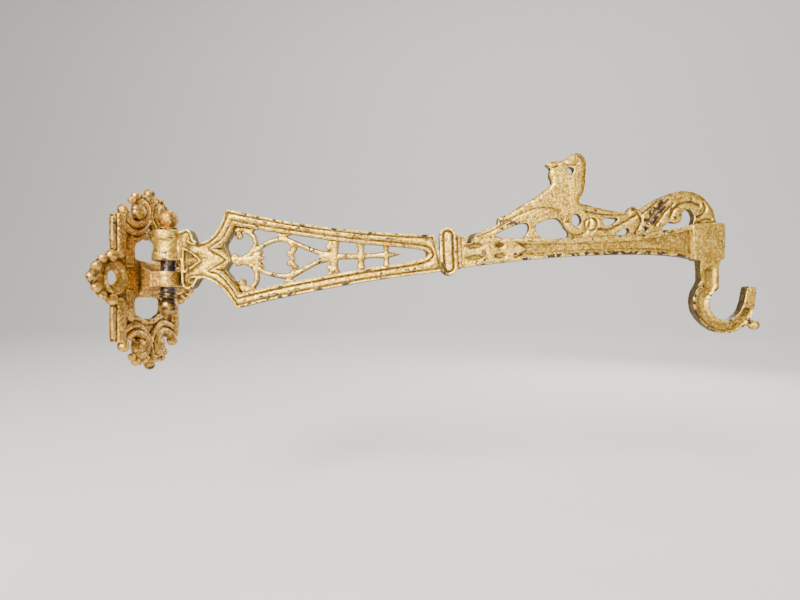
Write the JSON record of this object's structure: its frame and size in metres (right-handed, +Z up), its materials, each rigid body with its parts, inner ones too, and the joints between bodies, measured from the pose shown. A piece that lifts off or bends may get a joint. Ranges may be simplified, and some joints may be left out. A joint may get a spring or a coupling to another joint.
{
  "type": "swing-arm wall bracket",
  "caption": "Ornamental cast-iron hinge bracket: pierced wall plate, upright pin with ball ends, and a long pierced swinging arm with a bird crest and an open hook.",
  "frame": {"origin": "centre of the wall plate's flat back face, on the wall", "axes": "+X out of the wall, +Y across the plate through both screw holes, +Z up along the hinge pin"},
  "size_m": [0.3254, 0.1045, 0.1159],
  "materials": {
    "gilt_bronze_paint": "cast iron under old bronze-gold paint, worn on the high spots",
    "gilt_gold_paint": "cast iron under pale gold paint, chipped to dark iron along the edges",
    "bare_steel": "dark worn steel",
    "browned_steel": "browned steel with patches of gold paint left"
  },
  "bodies": {
    "plate": {"wall_plate": "gilt_bronze_paint"},
    "pin": {"hinge_pin": "bare_steel", "top_finial": "gilt_bronze_paint", "bottom_finial": "browned_steel"},
    "arm": {"swing_arm": "gilt_gold_paint"}
  },
  "joints": [
    {"name": "pin_float", "type": "slide", "parent": "plate", "child": "pin", "axis": [0, 0, 1], "range_m": [-0.0038, 0.0028]},
    {"name": "arm_swing", "type": "hinge", "parent": "pin", "child": "arm", "pos_m": [0.014, 0, 0.018], "axis": [0, 0, 1], "range_deg": [-100, 80]}
  ]
}
